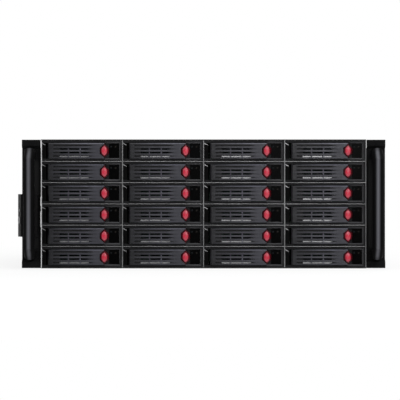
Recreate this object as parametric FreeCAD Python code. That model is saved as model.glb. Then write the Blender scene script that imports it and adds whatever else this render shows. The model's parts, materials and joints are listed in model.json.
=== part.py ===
# Rackmount server case: 19 inch, four rack units, a grid of hot-swap drive trays at the front.
# Millimetres. X runs to the right seen from the front, Y to the rear, Z up.
# The origin is the centre of the rack screw pattern, on the plane where the ears meet the rack posts.

import FreeCAD
import Part
import math
import os

Vector = FreeCAD.Vector
OUT = "parts"

# Rack standard
RACK_WIDTH = 482.6
HOLE_FROM_EDGE = 8.75
RACK_HOLES_Z = 101.6
RACK_SLOT_LENGTH = 10.3
RACK_SLOT_WIDTH = 6.8

# Chassis body
EAR_REACH = 25.5
BODY_HEIGHT = 171.0
BODY_DEPTH = 660.0
FRONT_REACH = 12.0
SHEET = 1.2
COVER_GAP = 0.4
LID_GAP = 1.0
COVER_FLANGE = 12.0
CABLE_SPACE = 46.0

# Drive grid
COLUMNS = 4
ROWS = 6
SHELF = 0.8
SHELF_SETBACK = 1.5
DRIVE_LENGTH = 147.0

# Tray bezel
TRAY_SIDE_GAP = 0.35
TRAY_LIFT = 0.3
BEZEL_PROUD = 0.5
BEZEL_DEPTH = 16.0
HINGE_POST = 5.4
SILL = 2.6
HEADER = 3.0
POCKET_RIM = 2.2
POCKET_DEPTH = 5.0
POCKET_TAPER = 1.5
RAIL_THICKNESS = 1.8
RAIL_HEIGHT = 20.0
TIE_FROM_END = 4.0
TIE_WIDTH = 12.0
TIE_THICKNESS = 0.7

# Release button, a pointed oval seen from the front
BUTTON_FROM_RIGHT = 23.0
BUTTON_HALF_WIDTH = 5.0
BUTTON_HALF_HEIGHT = 7.2
BUTTON_PROUD = 3.5
BUTTON_CHAMFER = 1.6
BUTTON_FACETS = 4
EYE_SIDE_GAP = 1.2
EYE_END_GAP = 2.0
EYE_FLANK = 3.6

# Ejector lever
LEVER_GAP = 0.4
LEVER_END_GAP = 2.2
LEVER_PROUD = 2.5
LEVER_THICKNESS = 7.0
LEVER_TOP_CHAMFER = 1.0
LEVER_LEFT_CHAMFER = 2.0
PIN_RADIUS = 1.5
PIN_CLEARANCE = 0.08
PIN_NOSE_ANGLE = 80.0
PIN_FROM_LEFT = 3.5
PIN_FROM_BACK = 2.1
GROOVES = 4
GROOVE_SPREAD = 0.93
GROOVE_OPEN = 0.5
GROOVE_LEFT = 7.0
GROOVE_RIGHT = 13.5
GROOVE_POINT = 11.0
LOUVRE_THICKNESS = 2.5
AIR_LEFT = 15.5
AIR_RIGHT = 20.5
AIR_SIDE = 11.0
AIR_BAR = 1.5
AIR_MARGIN = 0.6

# Backplane boards, one for each row
BOARD_THICKNESS = 1.6
BOARD_END_GAP = 1.0
BOARD_SIDE_GAP = 2.0
SOCKET_WIDTH = 42.0
SOCKET_HEIGHT = 6.0
SOCKET_REACH = 8.0
SOCKET_GAP = 0.5
SOCKET_RISE = 3.0

# Fan wall
FANS = 3
FAN_SIZE = 120.0
FAN_DEPTH = 38.0
FAN_BORE_RADIUS = 57.0
FAN_DUCT_SIDES = 16
FAN_OPENING = 112.0
FAN_TIP_GAP = 1.5
FAN_BLADES = 7
HUB_RADIUS = 19.0
HUB_DEPTH = 26.0
BLADE_CHORD = 25.0
BLADE_THICKNESS = 2.0
BLADE_PITCH = 50.0
STRUT_WIDTH = 12.0
STRUT_DEPTH = 4.0
STRUT_LAP = 2.0
SHAFT_RADIUS = 2.0
SHAFT_CLEARANCE = 0.06
BEARING_SIDES = 8
HUB_GAP = 0.5

# Rear panel
IO_WIDTH = 158.75
IO_HEIGHT = 44.45
IO_RISE = 6.5
SUPPLY_WIDTH = 84.0
SUPPLY_HEIGHT = 148.0
SUPPLY_RISE = 8.0
SLOTS = 7
SLOT_PITCH = 20.32
SLOT_WIDTH = 13.0
SLOT_HEIGHT = 104.0
SLOT_RISE = 12.0
SLOT_COVER_LAP = 2.5
SLOT_COVER_THICKNESS = 1.0
SLOT_COVER_TAB = 11.0
VENTS = 2
VENT_ROWS = 6
VENT_ROW_PITCH = 11.5
VENT_SLOT_WIDTH = 70.0
VENT_SLOT_HEIGHT = 5.5
VENT_PITCH = 79.0
VENT_RISE = 64.0

# Rack ears and their handles
EAR_THICKNESS = 2.0
EAR_LEG = 45.0
EAR_END_GAP = 0.3
EAR_FROM_END = 12.0
EAR_BODY_GAP = 0.3
PLATE_THICKNESS = 4.0
PLATE_FRAME = 3.0
PAD_HEIGHT = 11.0
PAD_RAISE = 4.5
PAD_CHAMFER = 3.0
NOTCH_WIDTH = 1.0
CORNER_NOTCH_HEIGHT = 11.0
GRIP_WIDTH = 14.5
GRIP_INSET = 3.0
GRIP_THICKNESS = 12.0
GRIP_FROM_END = 11.5
GRIP_STANDOFF = 36.0
GRIP_CORNER = 14.0
GRIP_ROUND = 6.0
CABLE_NOTCHES = ((9.0, -3.0), (-10.0, -31.0))

# Control module on the left ear
MODULE_TOP = 13.0
MODULE_BOTTOM = -43.5
MODULE_DEPTH = 13.7
MODULE_OVERHANG = 5.5
MODULE_SLANT = 5.0
MODULE_INNER_GAP = 4.0
POWER_RADIUS = 5.0
POWER_GAP = 0.1
POWER_PROUD = 0.6
POWER_LENGTH = 4.0
POWER_TRAVEL = 1.5
POWER_FLOOR_GAP = 0.3
POWER_HEIGHT = -21.5

# Places that follow from the sizes
BODY_WIDTH = RACK_WIDTH - 2 * EAR_REACH
RACK_HOLES_X = RACK_WIDTH - 2 * HOLE_FROM_EDGE
BODY_LEFT = -BODY_WIDTH / 2
BODY_RIGHT = BODY_WIDTH / 2
BODY_FLOOR = -BODY_HEIGHT / 2
BODY_TOP = BODY_HEIGHT / 2
FRONT = -FRONT_REACH
REAR = FRONT + BODY_DEPTH
FLOOR = BODY_FLOOR + SHEET
CEILING = BODY_TOP - SHEET
COLUMN_PITCH = (BODY_WIDTH - SHEET) / COLUMNS
BAY_WIDTH = COLUMN_PITCH - SHEET
ROW_PITCH = (BODY_HEIGHT - 2 * SHEET + SHELF) / ROWS
BAY_HEIGHT = ROW_PITCH - SHELF
CAGE_DEPTH = BEZEL_DEPTH - BEZEL_PROUD + DRIVE_LENGTH + SOCKET_GAP + SOCKET_REACH
CAGE_REAR = FRONT + CAGE_DEPTH
FAN_WALL_Y = CAGE_REAR + BOARD_THICKNESS + CABLE_SPACE
FAN_PITCH = (BODY_WIDTH - 2 * SHEET) / FANS
PLATE_TOP = BODY_TOP - EAR_END_GAP
GRIP_TOP = PLATE_TOP - GRIP_FROM_END
EPS = 1.0
EDGE_TOLERANCE = 1e-6

# Places inside one bay, from the bay's lower left front corner
BEZEL_LEFT = TRAY_SIDE_GAP
BEZEL_RIGHT = BAY_WIDTH - TRAY_SIDE_GAP
BEZEL_BOTTOM = TRAY_LIFT
BEZEL_TOP = BAY_HEIGHT - TRAY_LIFT
BEZEL_FRONT = -BEZEL_PROUD
BEZEL_BACK = BEZEL_FRONT + BEZEL_DEPTH
BUTTON_X = BEZEL_RIGHT - BUTTON_FROM_RIGHT
WINDOW_LEFT = BEZEL_LEFT + HINGE_POST
WINDOW_RIGHT = BUTTON_X + LEVER_GAP
WINDOW_BOTTOM = BEZEL_BOTTOM + SILL
WINDOW_TOP = BEZEL_TOP - HEADER
WINDOW_MIDDLE = (WINDOW_BOTTOM + WINDOW_TOP) / 2
LEVER_LEFT = WINDOW_LEFT + LEVER_END_GAP
LEVER_BOTTOM = WINDOW_BOTTOM + LEVER_GAP
LEVER_TOP = WINDOW_TOP - LEVER_GAP
LEVER_FRONT = BEZEL_FRONT - LEVER_PROUD
LEVER_BACK = LEVER_FRONT + LEVER_THICKNESS
LOUVRE_BACK = LEVER_FRONT + LOUVRE_THICKNESS
GROOVE_PITCH = GROOVE_SPREAD * (LEVER_TOP - LEVER_BOTTOM) / GROOVES
GROOVE_HEIGHT = GROOVE_OPEN * GROOVE_PITCH
EYE_LEFT = BUTTON_X - BUTTON_HALF_WIDTH - EYE_SIDE_GAP
PIN_X = LEVER_LEFT + PIN_FROM_LEFT
PIN_Y = LEVER_BACK - PIN_FROM_BACK
POCKET_FLOOR = BEZEL_FRONT + POCKET_DEPTH
TRAY_END = BEZEL_BACK + DRIVE_LENGTH

# Places on the rear panel, which shares out its free width in four equal gaps
SLOT_COVER_WIDTH = SLOT_WIDTH + 2 * SLOT_COVER_LAP
SLOTS_WIDTH = (SLOTS - 1) * SLOT_PITCH + SLOT_COVER_WIDTH
REAR_GAP = (BODY_WIDTH - 2 * SHEET - SUPPLY_WIDTH - IO_WIDTH - SLOTS_WIDTH) / 4
SUPPLY_RIGHT = BODY_RIGHT - SHEET - REAR_GAP
IO_RIGHT = SUPPLY_RIGHT - SUPPLY_WIDTH - REAR_GAP
FIRST_SLOT = IO_RIGHT - IO_WIDTH - REAR_GAP - SLOT_COVER_WIDTH / 2


def block(x, y, z):
    """A box from its (low, high) pairs along the three axes."""
    return Part.makeBox(x[1] - x[0], y[1] - y[0], z[1] - z[0], Vector(x[0], y[0], z[0]))


def plan_prism(points, z):
    """An outline of (x, y) corners, drawn up from z[0] to z[1]."""
    wire = Part.makePolygon([Vector(px, py, z[0]) for px, py in points + points[:1]])
    return Part.Face(wire).extrude(Vector(0, 0, z[1] - z[0]))


def front_prism(points, y):
    """An outline of (x, z) corners, drawn back from y[0] to y[1]."""
    wire = Part.makePolygon([Vector(px, y[0], pz) for px, pz in points + points[:1]])
    return Part.Face(wire).extrude(Vector(0, y[1] - y[0], 0))


def side_prism(points, x):
    """An outline of (y, z) corners, drawn across from x[0] to x[1]."""
    wire = Part.makePolygon([Vector(x[0], py, pz) for py, pz in points + points[:1]])
    return Part.Face(wire).extrude(Vector(x[1] - x[0], 0, 0))


def button_corners(inset, y):
    """The release button's pointed oval: two flanks of an arc each, cut into a few flat facets."""
    half_width = BUTTON_HALF_WIDTH - inset
    half_height = BUTTON_HALF_HEIGHT * half_width / BUTTON_HALF_WIDTH
    radius = (half_width ** 2 + half_height ** 2) / (2 * half_width)
    sweep = math.asin(half_height / radius)
    corners = []
    for side in (1, -1):
        for i in range(BUTTON_FACETS):
            angle = side * sweep * (1 - 2 * i / BUTTON_FACETS)
            x = BUTTON_X + side * (radius * math.cos(angle) - radius + half_width)
            corners.append(Vector(x, y, WINDOW_MIDDLE + radius * math.sin(angle)))
    return corners


def stacked_solid(rings):
    """A solid with flat sides through rings of equal corner counts, closed at both ends."""
    faces = [Part.Face(Part.makePolygon(ring + ring[:1])) for ring in (rings[0], rings[-1])]
    for lower, upper in zip(rings, rings[1:]):
        for i in range(len(lower)):
            j = (i + 1) % len(lower)
            side = [lower[i], lower[j], upper[j], upper[i], lower[i]]
            faces.append(Part.Face(Part.makePolygon(side)))
    return Part.makeSolid(Part.makeShell(faces))


def regular_prism(x, z, reach, sides, y):
    """An upright regular polygon whose flats lie at reach from (x, z), drawn from y[0] to y[1]."""
    turn = 2 * math.pi / sides
    corner = reach / math.cos(turn / 2)
    angles = [(i + 0.5) * turn for i in range(sides)]
    return front_prism([(x + corner * math.sin(a), z + corner * math.cos(a)) for a in angles], y)


def eye_prism(y):
    """The six-sided opening round the release button, cut from y[0] to y[1]."""
    wide = BUTTON_X - EYE_LEFT
    tall = BUTTON_HALF_HEIGHT + EYE_END_GAP
    outline = [
        (BUTTON_X, WINDOW_MIDDLE + tall),
        (BUTTON_X + wide, WINDOW_MIDDLE + EYE_FLANK),
        (BUTTON_X + wide, WINDOW_MIDDLE - EYE_FLANK),
        (BUTTON_X, WINDOW_MIDDLE - tall),
        (BUTTON_X - wide, WINDOW_MIDDLE - EYE_FLANK),
        (BUTTON_X - wide, WINDOW_MIDDLE + EYE_FLANK),
    ]
    return front_prism(outline, y)


def slot_prism(x, z, length, width, y):
    """A slot with round ends along X, centred at x and z, cut from y[0] to y[1]."""
    reach = (length - width) / 2
    radius = width / 2
    lower_left = Vector(x - reach, y[0], z - radius)
    lower_right = Vector(x + reach, y[0], z - radius)
    upper_right = Vector(x + reach, y[0], z + radius)
    upper_left = Vector(x - reach, y[0], z + radius)
    right_end = Vector(x + reach + radius, y[0], z)
    left_end = Vector(x - reach - radius, y[0], z)
    edges = [
        Part.makeLine(lower_left, lower_right),
        Part.Arc(lower_right, right_end, upper_right).toShape(),
        Part.makeLine(upper_right, upper_left),
        Part.Arc(upper_left, left_end, lower_left).toShape(),
    ]
    return Part.Face(Part.Wire(edges)).extrude(Vector(0, y[1] - y[0], 0))


def bay_corner(row, column):
    """The lower left front corner of a bay. Row 0 is the top one, column 0 the left one."""
    x = BODY_LEFT + SHEET + column * COLUMN_PITCH
    z = FLOOR + (ROWS - 1 - row) * ROW_PITCH
    return Vector(x, FRONT, z)


def mirrored(shape):
    return shape.mirror(Vector(0, 0, 0), Vector(1, 0, 0))


def save(name, solids):
    shape = solids[0] if len(solids) == 1 else Part.makeCompound(solids)
    shape.exportStep(os.path.join(OUT, name + ".step"))


# Tray: bezel, two rails, rear tie and release button


def pocket_corners(y):
    """The pocket for button and lights, cut at a depth: its right, upper and lower walls slope inwards."""
    inset = POCKET_RIM + POCKET_TAPER * (y - BEZEL_FRONT) / POCKET_DEPTH
    right = BEZEL_RIGHT - inset
    low = BEZEL_BOTTOM + inset
    high = BEZEL_TOP - inset
    return [Vector(x, y, z) for x, z in ((BUTTON_X, low), (right, low), (right, high), (BUTTON_X, high))]


def make_bezel():
    """The moulded front frame, with the lever's pivot and the pocket for button and lights."""
    depth = (BEZEL_FRONT, BEZEL_BACK)
    frame = block((BEZEL_LEFT, BEZEL_RIGHT), depth, (BEZEL_BOTTOM, BEZEL_TOP))
    window = block(
        (WINDOW_LEFT, WINDOW_RIGHT), (BEZEL_FRONT - EPS, BEZEL_BACK + EPS), (WINDOW_BOTTOM, WINDOW_TOP)
    )
    pocket = stacked_solid([pocket_corners(BEZEL_FRONT - EPS), pocket_corners(POCKET_FLOOR)])
    return frame.cut([window, pocket]).fuse(make_pivot()).removeSplitter()


def make_pivot():
    """The upright rib on which the lever turns: a round nose in front, narrowing to an edge behind."""
    spread = math.radians(PIN_NOSE_ANGLE / 2)
    shoulder = PIN_Y - PIN_RADIUS * math.cos(spread)
    left = Vector(PIN_X - PIN_RADIUS * math.sin(spread), shoulder, WINDOW_BOTTOM)
    right = Vector(PIN_X + PIN_RADIUS * math.sin(spread), shoulder, WINDOW_BOTTOM)
    nose = Vector(PIN_X, PIN_Y - PIN_RADIUS, WINDOW_BOTTOM)
    heel = Vector(PIN_X, PIN_Y + PIN_RADIUS, WINDOW_BOTTOM)
    edges = [Part.Arc(left, nose, right).toShape(), Part.makeLine(right, heel), Part.makeLine(heel, left)]
    return Part.Face(Part.Wire(edges)).extrude(Vector(0, 0, WINDOW_TOP - WINDOW_BOTTOM))


def make_rail(left):
    """A side rail that carries the drive and slides in the bay."""
    return block(
        (left, left + RAIL_THICKNESS), (BEZEL_BACK, TRAY_END), (BEZEL_BOTTOM, BEZEL_BOTTOM + RAIL_HEIGHT)
    )


def make_tie():
    """The strip under the drive that keeps the two rails apart."""
    back = TRAY_END - TIE_FROM_END
    return block(
        (BEZEL_LEFT + RAIL_THICKNESS, BEZEL_RIGHT - RAIL_THICKNESS),
        (back - TIE_WIDTH, back),
        (BEZEL_BOTTOM, BEZEL_BOTTOM + TIE_THICKNESS),
    )


def make_button():
    """The release button: a pointed oval with a bevelled front, seated on the bezel's pocket floor."""
    front = BEZEL_FRONT - BUTTON_PROUD
    rings = [
        button_corners(BUTTON_CHAMFER, front),
        button_corners(0, front + BUTTON_CHAMFER),
        button_corners(0, POCKET_FLOOR),
    ]
    return stacked_solid(rings)


def make_tray():
    right_rail = BEZEL_RIGHT - RAIL_THICKNESS
    return [make_bezel(), make_rail(BEZEL_LEFT), make_rail(right_rail), make_tie(), make_button()]


# Ejector lever


def groove_heights():
    first = WINDOW_MIDDLE - (GROOVES - 1) / 2 * GROOVE_PITCH
    return [first + i * GROOVE_PITCH for i in range(GROOVES)]


def make_grooves():
    """Horizontal louvre slots through the lever's cover, each running out to a point on the right."""
    left = LEVER_LEFT + GROOVE_LEFT
    right = BUTTON_X - GROOVE_RIGHT
    half = GROOVE_HEIGHT / 2
    grooves = []
    for middle in groove_heights():
        outline = [
            (left, middle - half),
            (right - GROOVE_POINT, middle - half),
            (right, middle),
            (right - GROOVE_POINT, middle + half),
            (left, middle + half),
        ]
        grooves.append(front_prism(outline, (LEVER_FRONT - EPS, LOUVRE_BACK + EPS)))
    return grooves


def make_air_windows():
    """Three windows through the lever's frame, which let air through all louvre slots but the top one."""
    open_slots = groove_heights()[:-1]
    z = (open_slots[0] - GROOVE_HEIGHT / 2 - AIR_MARGIN, open_slots[-1] + GROOVE_HEIGHT / 2 + AIR_MARGIN)
    left = LEVER_LEFT + AIR_LEFT
    right = BUTTON_X - AIR_RIGHT
    edges = [left, left + AIR_SIDE, right - AIR_SIDE, right]
    y = (LOUVRE_BACK - EPS, LEVER_BACK + EPS)
    return [
        block((edges[0], edges[1]), y, z),
        block((edges[1] + AIR_BAR, edges[2] - AIR_BAR), y, z),
        block((edges[2], edges[3]), y, z),
    ]


def make_lever_cover():
    """The louvred front of the lever, bevelled along its left and top edges."""
    plan = [
        (LEVER_LEFT, LOUVRE_BACK),
        (LEVER_LEFT, LEVER_FRONT + LEVER_LEFT_CHAMFER),
        (LEVER_LEFT + LEVER_LEFT_CHAMFER, LEVER_FRONT),
        (BUTTON_X, LEVER_FRONT),
        (BUTTON_X, LOUVRE_BACK),
    ]
    cover = plan_prism(plan, (LEVER_BOTTOM, LEVER_TOP))
    top_edge = side_prism(
        [
            (LEVER_FRONT, LEVER_TOP),
            (LEVER_FRONT, LEVER_TOP - LEVER_TOP_CHAMFER),
            (LEVER_FRONT + LEVER_TOP_CHAMFER, LEVER_TOP),
        ],
        (LEVER_LEFT - EPS, BUTTON_X + EPS),
    )
    eye = eye_prism((LEVER_FRONT - EPS, LOUVRE_BACK + EPS))
    return cover.cut([top_edge, eye] + make_grooves())


def make_lever_frame():
    """The back of the lever, with its air windows and the channel that snaps over the pivot."""
    frame = block((LEVER_LEFT, EYE_LEFT), (LOUVRE_BACK, LEVER_BACK), (LEVER_BOTTOM, LEVER_TOP))
    reach = PIN_RADIUS + PIN_CLEARANCE
    channel = block(
        (PIN_X - reach, PIN_X + reach),
        (PIN_Y - reach, LEVER_BACK + EPS),
        (LEVER_BOTTOM - EPS, LEVER_TOP + EPS),
    )
    return frame.cut([channel] + make_air_windows())


def make_lever():
    return [make_lever_cover(), make_lever_frame()]


# Chassis shell, cover and drive cage


def make_tub():
    """The folded pan: floor and both side walls."""
    outline = [
        (BODY_LEFT, CEILING),
        (BODY_LEFT, BODY_FLOOR),
        (BODY_RIGHT, BODY_FLOOR),
        (BODY_RIGHT, CEILING),
        (BODY_RIGHT - SHEET, CEILING),
        (BODY_RIGHT - SHEET, FLOOR),
        (BODY_LEFT + SHEET, FLOOR),
        (BODY_LEFT + SHEET, CEILING),
    ]
    return front_prism(outline, (FRONT, REAR))


def make_front_lid():
    """The fixed top plate over the drive cage."""
    return block((BODY_LEFT, BODY_RIGHT), (FRONT, CAGE_REAR), (CEILING, BODY_TOP))


def slot_centre(index):
    return FIRST_SLOT - index * SLOT_PITCH


def make_rear_panel():
    """The rear wall with its power supply opening, input and output opening, card slots and vents."""
    panel = block((BODY_LEFT + SHEET, BODY_RIGHT - SHEET), (REAR - SHEET, REAR), (FLOOR, CEILING))
    through = (REAR - SHEET - EPS, REAR + EPS)
    supply_z = (FLOOR + SUPPLY_RISE, FLOOR + SUPPLY_RISE + SUPPLY_HEIGHT)
    io_z = (FLOOR + IO_RISE, FLOOR + IO_RISE + IO_HEIGHT)
    slot_z = (FLOOR + SLOT_RISE, FLOOR + SLOT_RISE + SLOT_HEIGHT)
    cuts = [
        block((SUPPLY_RIGHT - SUPPLY_WIDTH, SUPPLY_RIGHT), through, supply_z),
        block((IO_RIGHT - IO_WIDTH, IO_RIGHT), through, io_z),
    ]
    for index in range(SLOTS):
        x = slot_centre(index)
        cuts.append(block((x - SLOT_WIDTH / 2, x + SLOT_WIDTH / 2), through, slot_z))
    middle = IO_RIGHT - IO_WIDTH / 2
    for vent in range(VENTS):
        x = middle + (vent - (VENTS - 1) / 2) * VENT_PITCH
        half = VENT_SLOT_WIDTH / 2
        for row in range(VENT_ROWS):
            z = FLOOR + VENT_RISE + row * VENT_ROW_PITCH
            cuts.append(block((x - half, x + half), through, (z, z + VENT_SLOT_HEIGHT)))
    return panel.cut(cuts)


def make_slot_covers():
    """One blank bracket behind each card slot, with the bent tab at its top."""
    covers = []
    back = REAR - SHEET
    bottom = FLOOR + SLOT_RISE - SLOT_COVER_LAP
    top = FLOOR + SLOT_RISE + SLOT_HEIGHT + SLOT_COVER_LAP
    for index in range(SLOTS):
        x = slot_centre(index)
        half = SLOT_COVER_WIDTH / 2
        outline = [
            (back, bottom),
            (back, top),
            (back - SLOT_COVER_TAB, top),
            (back - SLOT_COVER_TAB, top - SLOT_COVER_THICKNESS),
            (back - SLOT_COVER_THICKNESS, top - SLOT_COVER_THICKNESS),
            (back - SLOT_COVER_THICKNESS, bottom),
        ]
        covers.append(side_prism(outline, (x - half, x + half)))
    return covers


def make_cover():
    """The removable top cover: a plate with two flanges that drop inside the side walls."""
    inner = BODY_RIGHT - SHEET - COVER_GAP
    outline = [
        (BODY_LEFT, BODY_TOP),
        (BODY_LEFT, CEILING),
        (-inner, CEILING),
        (-inner, CEILING - COVER_FLANGE),
        (-inner + SHEET, CEILING - COVER_FLANGE),
        (-inner + SHEET, CEILING),
        (inner - SHEET, CEILING),
        (inner - SHEET, CEILING - COVER_FLANGE),
        (inner, CEILING - COVER_FLANGE),
        (inner, CEILING),
        (BODY_RIGHT, CEILING),
        (BODY_RIGHT, BODY_TOP),
    ]
    skin = front_prism(outline, (CAGE_REAR + LID_GAP, REAR))
    end = REAR - SHEET - COVER_GAP
    over_fans = FAN_WALL_Y + SHEET + COVER_GAP
    under = (CEILING - COVER_FLANGE - EPS, CEILING)
    trims = [
        block((BODY_LEFT, BODY_RIGHT), (end, REAR + EPS), under),
        block((BODY_LEFT, BODY_RIGHT), (CAGE_REAR, over_fans), under),
    ]
    return skin.cut(trims)


def make_cage():
    """Upright dividers between the columns, and one shelf in each bay between neighbouring rows."""
    plates = []
    for column in range(1, COLUMNS):
        x = BODY_LEFT + column * COLUMN_PITCH
        plates.append(block((x, x + SHEET), (FRONT, CAGE_REAR), (FLOOR, CEILING)))
    shelf_depth = (FRONT + SHELF_SETBACK, CAGE_REAR)
    for row in range(ROWS - 1):
        for column in range(COLUMNS):
            corner = bay_corner(row, column)
            plates.append(block((corner.x, corner.x + BAY_WIDTH), shelf_depth, (corner.z - SHELF, corner.z)))
    return plates


def make_backplanes():
    """One circuit board behind each row, with a drive socket facing into each bay."""
    pieces = []
    half = BODY_WIDTH / 2 - SHEET - BOARD_SIDE_GAP
    for row in range(ROWS):
        floor = bay_corner(row, 0).z
        board_z = (floor, floor + BAY_HEIGHT - BOARD_END_GAP)
        pieces.append(block((-half, half), (CAGE_REAR, CAGE_REAR + BOARD_THICKNESS), board_z))
        for column in range(COLUMNS):
            middle = bay_corner(row, column).x + BAY_WIDTH / 2
            x = (middle - SOCKET_WIDTH / 2, middle + SOCKET_WIDTH / 2)
            z = (floor + SOCKET_RISE, floor + SOCKET_RISE + SOCKET_HEIGHT)
            pieces.append(block(x, (CAGE_REAR - SOCKET_REACH, CAGE_REAR), z))
    return pieces


# Fan wall and fans


def fan_centres():
    z = FLOOR + FAN_SIZE / 2
    return [((i - (FANS - 1) / 2) * FAN_PITCH, z) for i in range(FANS)]


def make_partition():
    """The sheet across the body that carries the fans."""
    panel = block(
        (BODY_LEFT + SHEET, BODY_RIGHT - SHEET), (FAN_WALL_Y, FAN_WALL_Y + SHEET), (FLOOR, CEILING)
    )
    half = FAN_OPENING / 2
    through = (FAN_WALL_Y - EPS, FAN_WALL_Y + SHEET + EPS)
    return panel.cut([block((x - half, x + half), through, (z - half, z + half)) for x, z in fan_centres()])


def make_fan_housing(x, z):
    """A square frame with its duct, and the cross of struts at its rear that holds the bearing."""
    front = FAN_WALL_Y + SHEET
    back = front + FAN_DEPTH - STRUT_DEPTH
    half = FAN_SIZE / 2
    frame = block((x - half, x + half), (front, back), (z - half, z + half))
    duct = regular_prism(x, z, FAN_BORE_RADIUS, FAN_DUCT_SIDES, (front - EPS, back + EPS))
    reach = FAN_BORE_RADIUS + STRUT_LAP
    strut = STRUT_WIDTH / 2
    level = block((x - reach, x + reach), (back, back + STRUT_DEPTH), (z - strut, z + strut))
    upright = block((x - strut, x + strut), (back, back + STRUT_DEPTH), (z - reach, z + reach))
    through = (back - EPS, back + STRUT_DEPTH + EPS)
    bearing = regular_prism(x, z, SHAFT_RADIUS + SHAFT_CLEARANCE, BEARING_SIDES, through)
    return frame.cut(duct).fuse([level, upright]).cut(bearing).removeSplitter()


def make_rotor(x, z):
    """A hub with a flat for each pitched blade, and the shaft that runs in the housing's bearing."""
    bearing_front = FAN_WALL_Y + SHEET + FAN_DEPTH - STRUT_DEPTH
    back = bearing_front - HUB_GAP
    front = back - HUB_DEPTH
    hub = regular_prism(x, z, HUB_RADIUS, FAN_BLADES, (front, back))
    shaft = Part.makeCylinder(
        SHAFT_RADIUS, HUB_GAP + STRUT_DEPTH, Vector(x, back, z), Vector(0, 1, 0)
    )
    tip = math.sqrt((FAN_BORE_RADIUS - FAN_TIP_GAP) ** 2 - (BLADE_CHORD / 2) ** 2)
    blades = []
    for i in range(FAN_BLADES):
        blade = block(
            (-BLADE_CHORD / 2, BLADE_CHORD / 2),
            (-BLADE_THICKNESS / 2, BLADE_THICKNESS / 2),
            (HUB_RADIUS, tip),
        )
        blade.rotate(Vector(0, 0, 0), Vector(0, 0, 1), BLADE_PITCH)
        blade.rotate(Vector(0, 0, 0), Vector(0, 1, 0), i * 360 / FAN_BLADES)
        blade.translate(Vector(x, (front + back) / 2, z))
        blades.append(blade)
    return hub.fuse([shaft] + blades).removeSplitter()


# Rack ears, handles and control module. Made for the left side; the right one is the mirror image


def notch_cuts(spans, y):
    """Cuts in the inner edge of an ear, which leave a gap beside the body."""
    inner = BODY_LEFT - EAR_BODY_GAP
    return [block((inner - NOTCH_WIDTH, inner + EPS), y, (low, high)) for high, low in spans]


def make_ear(cable_notches):
    """A folded bracket: the flange that meets the rack post and the leg along the body's side."""
    outline = [
        (-RACK_WIDTH / 2, 0),
        (-RACK_WIDTH / 2, -EAR_THICKNESS),
        (BODY_LEFT, -EAR_THICKNESS),
        (BODY_LEFT, EAR_LEG),
        (BODY_LEFT - EAR_THICKNESS, EAR_LEG),
        (BODY_LEFT - EAR_THICKNESS, 0),
    ]
    ear = plan_prism(outline, (BODY_FLOOR + EAR_FROM_END, BODY_TOP - EAR_FROM_END))
    through = (-EAR_THICKNESS - EPS, EAR_LEG + EPS)
    cuts = notch_cuts(cable_notches, through)
    for side in (-1, 1):
        z = side * RACK_HOLES_Z / 2
        cuts.append(slot_prism(-RACK_HOLES_X / 2, z, RACK_SLOT_LENGTH, RACK_SLOT_WIDTH, through))
    return ear.cut(cuts)


def make_grip():
    """The arched grip: an upright U with cut corners, drawn across its width and rounded in front."""
    foot = -EAR_THICKNESS - PLATE_THICKNESS / 2
    front = -EAR_THICKNESS - PLATE_THICKNESS - GRIP_STANDOFF
    inner_top = GRIP_TOP - GRIP_THICKNESS
    arm = [(foot, inner_top), (foot, GRIP_TOP), (front + GRIP_CORNER, GRIP_TOP)]
    arm.append((front, GRIP_TOP - GRIP_CORNER))
    inner_edge = [(front + GRIP_THICKNESS, -inner_top), (front + GRIP_THICKNESS, inner_top)]
    outline = arm + [(y, -z) for y, z in reversed(arm)] + inner_edge
    middle = GRIP_INSET - RACK_HOLES_X / 2
    grip = side_prism(outline, (middle - GRIP_WIDTH / 2, middle + GRIP_WIDTH / 2))
    return grip.makeFillet(GRIP_ROUND, [edge for edge in grip.Edges if on_outer_outline(edge, front, foot)])


def on_outer_outline(edge, front, foot):
    """Whether an edge of the grip runs along its outer outline, on either side face."""
    box = edge.BoundBox
    along_side = box.XLength < EDGE_TOLERANCE
    at_foot = box.YLength < EDGE_TOLERANCE and abs(box.YMax - foot) < EDGE_TOLERANCE
    at_front = abs(box.YMin - front) < EDGE_TOLERANCE
    at_top = abs(max(abs(box.ZMin), abs(box.ZMax)) - GRIP_TOP) < EDGE_TOLERANCE
    return along_side and not at_foot and (at_front or at_top)


def make_handle(cable_notches):
    """The moulded cover plate of the ear, with a raised pad at each end and the arched grip."""
    outer = -RACK_WIDTH / 2
    inner = BODY_LEFT - EAR_BODY_GAP
    back = -EAR_THICKNESS
    front = back - PLATE_THICKNESS
    plate = block((outer, inner), (front, back), (-PLATE_TOP, PLATE_TOP))
    window_top = GRIP_TOP - GRIP_THICKNESS - PLATE_FRAME
    window = block(
        (outer + PLATE_FRAME, inner - PLATE_FRAME), (front - EPS, back + EPS), (-window_top, window_top)
    )
    pads = []
    for side in (-1, 1):
        outline = [
            (front, side * PLATE_TOP),
            (front - PAD_RAISE, side * PLATE_TOP),
            (front - PAD_RAISE, side * (PLATE_TOP - PAD_HEIGHT + PAD_CHAMFER)),
            (front - PAD_RAISE + PAD_CHAMFER, side * (PLATE_TOP - PAD_HEIGHT)),
            (front, side * (PLATE_TOP - PAD_HEIGHT)),
        ]
        pads.append(side_prism(outline, (outer, inner)))
    through = (front - PAD_RAISE - EPS, back + EPS)
    corner_notch = [(PLATE_TOP + EPS, PLATE_TOP - CORNER_NOTCH_HEIGHT)]
    cuts = [window] + notch_cuts(corner_notch + list(cable_notches), through)
    return plate.fuse(pads).cut(cuts).fuse(make_grip()).removeSplitter()


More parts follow.
